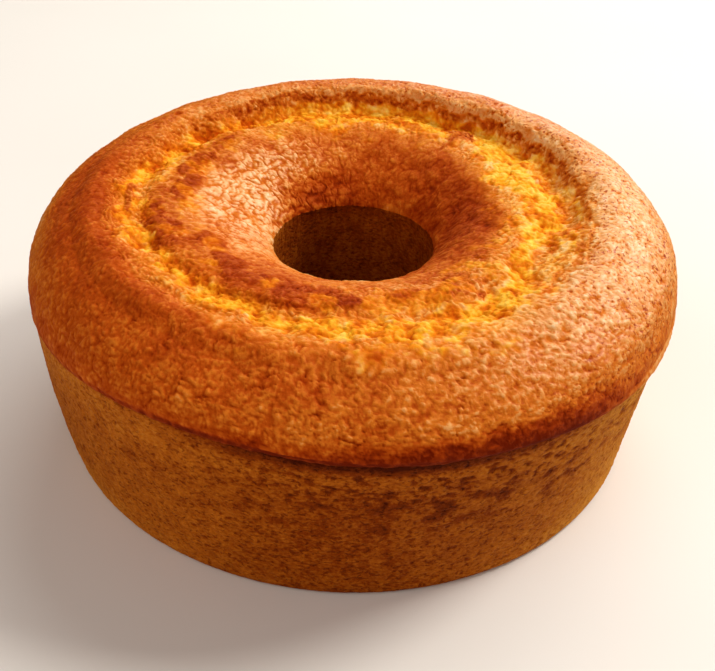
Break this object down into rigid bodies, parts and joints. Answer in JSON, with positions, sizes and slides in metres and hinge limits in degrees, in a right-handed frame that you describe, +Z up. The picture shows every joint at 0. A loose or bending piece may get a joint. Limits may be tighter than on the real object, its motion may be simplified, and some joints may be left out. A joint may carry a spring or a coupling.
{
  "type": "ring cake",
  "caption": "Tall round ring cake with a hole through the middle, a tapered side and a domed brown crust that has torn open in a ring.",
  "frame": {"origin": "middle of the flat base, at the height of the base", "axes": "+Z up along the hole; +Y towards the back, where the crust stands highest; the side seen in the picture faces -Y"},
  "size_m": [0.24, 0.2418, 0.0973],
  "materials": {
    "carrot_cake": "baked brown crust, rough, with golden crumb in the tear"
  },
  "bodies": {
    "root": {"carrot_cake": "carrot_cake"}
  },
  "joints": []
}
